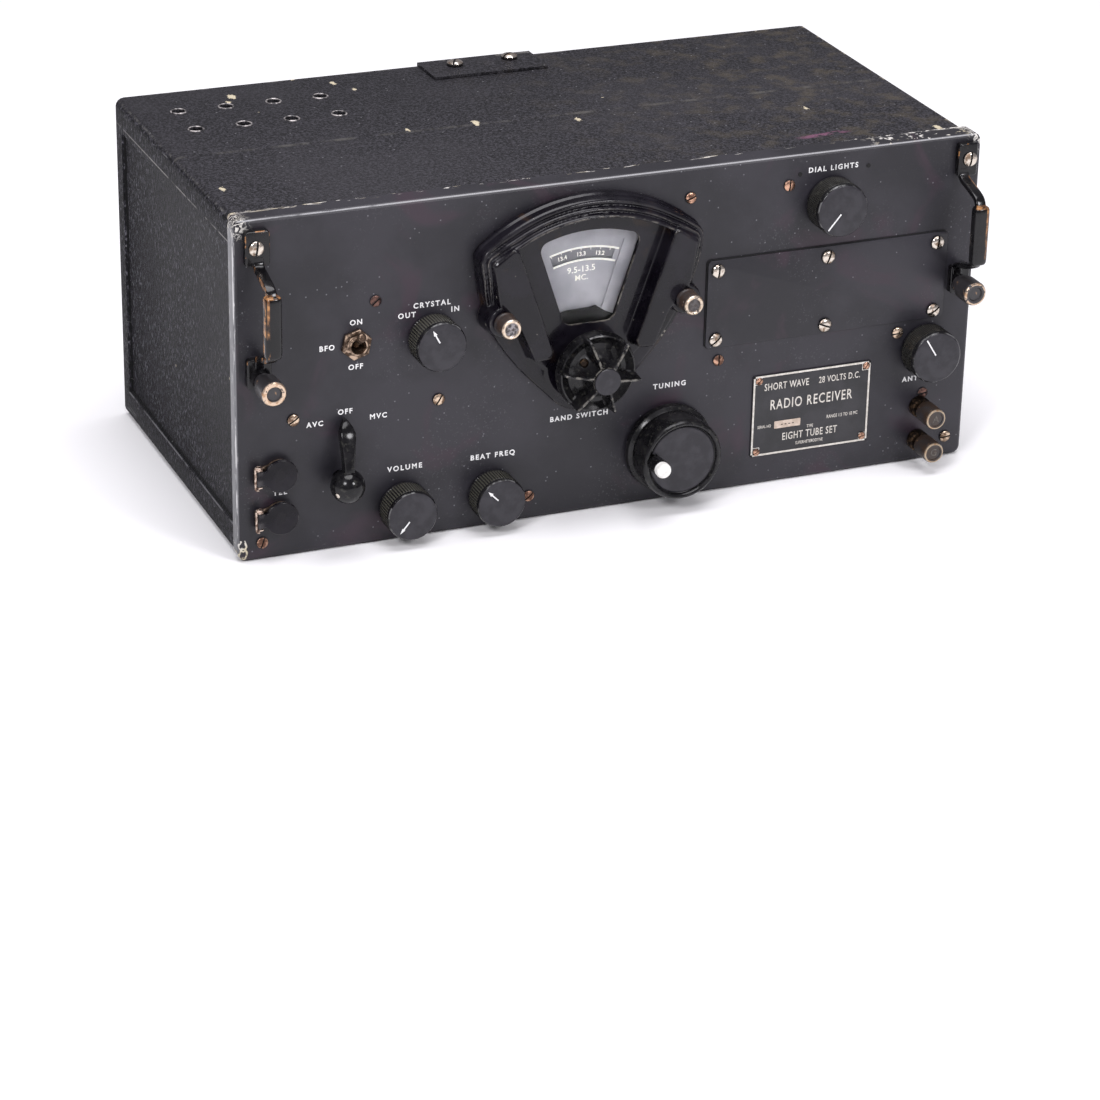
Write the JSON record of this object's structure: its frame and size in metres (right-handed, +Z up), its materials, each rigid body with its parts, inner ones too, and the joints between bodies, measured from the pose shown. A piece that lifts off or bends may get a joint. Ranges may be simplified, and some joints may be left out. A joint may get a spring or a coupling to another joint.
{
  "type": "vintage tube receiver",
  "caption": "Table-top communications receiver: wrinkle-painted sheet cabinet, slide-out chassis with tubes, arched dial, geared tuning, band switch, handles and front controls.",
  "frame": {"origin": "centre of the cabinet's flat bottom face, on the surface that it stands on", "axes": "+X to the right seen from the front, -Y out of the front panel, +Z up"},
  "size_m": [0.4572, 0.2718, 0.2056],
  "materials": {
    "wrinkle_paint": "black wrinkle enamel, chipped to cream primer on the front edge",
    "panel_paint": "smooth satin black enamel",
    "plate_black": "matt black plate",
    "cast_black": "black enamel worn brown on its edges",
    "bakelite": "black moulded phenolic",
    "worn_brass": "brass with rubbed black paint",
    "nickel": "dull nickel plate",
    "aluminium": "plain etched aluminium",
    "dial_grey": "flat grey dial paint",
    "glass": "clear glass",
    "tube_metal": "black metal tube shell",
    "ivory": "off-white moulded plastic"
  },
  "bodies": {
    "cabinet": {"cabinet_wrap": "wrinkle_paint", "cabinet_back": "wrinkle_paint", "rear_latch_plate": "wrinkle_paint"},
    "volume": {"volume_knob": "bakelite"},
    "beat_freq": {"beat_freq_knob": "bakelite"},
    "crystal": {"crystal_knob": "bakelite"},
    "dial_lights": {"dial_lights_knob": "bakelite"},
    "antenna": {"antenna_knob": "bakelite"},
    "band_selector": {"band_switch_knob": "bakelite", "band_mask": "dial_grey"},
    "dial": {"dial_disc": "plate_black"},
    "idler": {"idler_gear": "worn_brass"},
    "gang": {"gang_rotor": "aluminium"},
    "tuning": {"tuning_knob": "bakelite"},
    "crank": {"crank_spinner": "ivory"},
    "toggle": {"toggle_lever": "nickel"},
    "mode": {"mode_lever": "bakelite"},
    "jack_flap_upper": {"jack_cover_upper": "cast_black"},
    "jack_flap_lower": {"jack_cover_lower": "cast_black"},
    "post_a": {"post_cap_a": "worn_brass"},
    "post_g": {"post_cap_g": "worn_brass"},
    "thumb_left": {"thumb_screw_left": "worn_brass"},
    "thumb_right": {"thumb_screw_right": "worn_brass"},
    "lamp_left": {"lamp_cap_left": "worn_brass"},
    "lamp_right": {"lamp_cap_right": "worn_brass"},
    "armature": {"dynamotor_armature": "nickel"},
    "chassis": {"bfo_can": "aluminium", "chassis_tray": "aluminium", "coil_box": "aluminium", "cover_plate": "panel_paint", "crystal_can": "aluminium", "dial_housing": "cast_black", "dial_window": "glass", "dimmer_rheostat": "bakelite", "dynamotor_housing": "cast_black", "front_panel": "panel_paint", "gang_frame": "aluminium", "gear_plate": "aluminium", "handle_left": "cast_black", "handle_right": "cast_black", "if_can_1": "aluminium", "if_can_2": "aluminium", "if_can_3": "aluminium", "jack_lower": "nickel", "jack_upper": "nickel", "nameplate": "plate_black", "output_transformer": "cast_black", "post_base_a": "worn_brass", "post_base_g": "worn_brass", "rear_connector": "bakelite", "toggle_body": "nickel", "tube_1": "tube_metal", "tube_2": "tube_metal", "tube_3": "tube_metal", "tube_4": "tube_metal", "tube_5": "tube_metal", "tube_6": "tube_metal", "tube_7": "tube_metal", "tube_8": "glass", "volume_control": "bakelite"}
  },
  "joints": [
    {"name": "chassis_slide", "type": "slide", "parent": "cabinet", "child": "chassis", "axis": [0, -1, 0], "range_m": [0, 0.2]},
    {"name": "volume_turn", "type": "hinge", "parent": "chassis", "child": "volume", "pos_m": [-0.13, -0.115, 0.0208], "axis": [0, 1, 0], "range_deg": [0, 280]},
    {"name": "beat_freq_turn", "type": "hinge", "parent": "chassis", "child": "beat_freq", "pos_m": [-0.076, -0.115, 0.0205], "axis": [0, 1, 0], "range_deg": [-45, 135]},
    {"name": "crystal_switch_turn", "type": "hinge", "parent": "chassis", "child": "crystal", "pos_m": [-0.1131, -0.115, 0.1213], "axis": [0, 1, 0], "range_deg": [0, 60]},
    {"name": "dial_lights_turn", "type": "hinge", "parent": "chassis", "child": "dial_lights", "pos_m": [0.1321, -0.115, 0.1724], "axis": [0, 1, 0], "range_deg": [0, 280]},
    {"name": "antenna_align_turn", "type": "hinge", "parent": "chassis", "child": "antenna", "pos_m": [0.1996, -0.115, 0.0725], "axis": [0, 1, 0], "continuous": true},
    {"name": "band_switch_turn", "type": "hinge", "parent": "chassis", "child": "band_selector", "pos_m": [-0.0205, -0.115, 0.095], "axis": [0, 1, 0], "range_deg": [-240, 60]},
    {"name": "tuning_turn", "type": "hinge", "parent": "chassis", "child": "tuning", "pos_m": [0.033, -0.115, 0.0345], "axis": [0, 1, 0], "range_deg": [-4410, 4410]},
    {"name": "idler_turn", "type": "hinge", "parent": "chassis", "child": "idler", "pos_m": [-0.01319, -0.115, 0.04756], "axis": [0, 1, 0], "range_deg": [-631, 631]},
    {"name": "dial_turn", "type": "hinge", "parent": "chassis", "child": "dial", "pos_m": [-0.0205, -0.115, 0.095], "axis": [0, 1, 0], "range_deg": [-91, 91]},
    {"name": "gang_turn", "type": "hinge", "parent": "chassis", "child": "gang", "pos_m": [0.0635, -0.115, 0.095], "axis": [0, 1, 0], "range_deg": [-91, 91]},
    {"name": "crank_spin", "type": "hinge", "parent": "tuning", "child": "crank", "pos_m": [0.0145, -0.115, 0.0365], "axis": [0, 1, 0], "continuous": true},
    {"name": "toggle_tilt", "type": "hinge", "parent": "chassis", "child": "toggle", "pos_m": [-0.1583, -0.1155, 0.1235], "axis": [1, 0, 0], "range_deg": [0, 76]},
    {"name": "mode_lever_turn", "type": "hinge", "parent": "chassis", "child": "mode", "pos_m": [-0.1683, -0.115, 0.0445], "axis": [0, 1, 0], "range_deg": [-30, 30]},
    {"name": "jack_flap_upper_swing", "type": "hinge", "parent": "chassis", "child": "jack_flap_upper", "pos_m": [-0.2175, -0.12, 0.0524], "axis": [0, 0, -1], "range_deg": [0, 100], "stiffness_Nm_per_rad": 0.01, "springref_deg": -28.65},
    {"name": "jack_flap_lower_swing", "type": "hinge", "parent": "chassis", "child": "jack_flap_lower", "pos_m": [-0.2173, -0.12, 0.0265], "axis": [0, 0, -1], "range_deg": [0, 100], "stiffness_Nm_per_rad": 0.01, "springref_deg": -28.65},
    {"name": "post_a_press", "type": "slide", "parent": "chassis", "child": "post_a", "axis": [0, 1, 0], "range_m": [0, 0.0025], "stiffness_N_per_m": 800, "springref_m": -0.002},
    {"name": "post_g_press", "type": "slide", "parent": "chassis", "child": "post_g", "axis": [0, 1, 0], "range_m": [0, 0.0025], "stiffness_N_per_m": 800, "springref_m": -0.002},
    {"name": "thumb_left_turn", "type": "hinge", "parent": "chassis", "child": "thumb_left", "pos_m": [-0.214, -0.115, 0.1103], "axis": [0, 1, 0], "range_deg": [-1440, 0]},
    {"name": "thumb_right_turn", "type": "hinge", "parent": "chassis", "child": "thumb_right", "pos_m": [0.218, -0.115, 0.113], "axis": [0, 1, 0], "range_deg": [-1440, 0]},
    {"name": "lamp_left_turn", "type": "hinge", "parent": "chassis", "child": "lamp_left", "pos_m": [-0.0761, -0.115, 0.131], "axis": [0, 1, 0], "range_deg": [-720, 0]},
    {"name": "lamp_right_turn", "type": "hinge", "parent": "chassis", "child": "lamp_right", "pos_m": [0.0351, -0.115, 0.131], "axis": [0, 1, 0], "range_deg": [-720, 0]},
    {"name": "dynamotor_spin", "type": "hinge", "parent": "chassis", "child": "armature", "pos_m": [0.165, 0.032, 0.1065], "axis": [0, 1, 0], "continuous": true}
  ],
  "couplings": [
    {"joint": "idler_turn", "follows": "tuning_turn", "ratio": -0.14286},
    {"joint": "dial_turn", "follows": "tuning_turn", "ratio": 0.020408},
    {"joint": "gang_turn", "follows": "tuning_turn", "ratio": -0.020408}
  ]
}
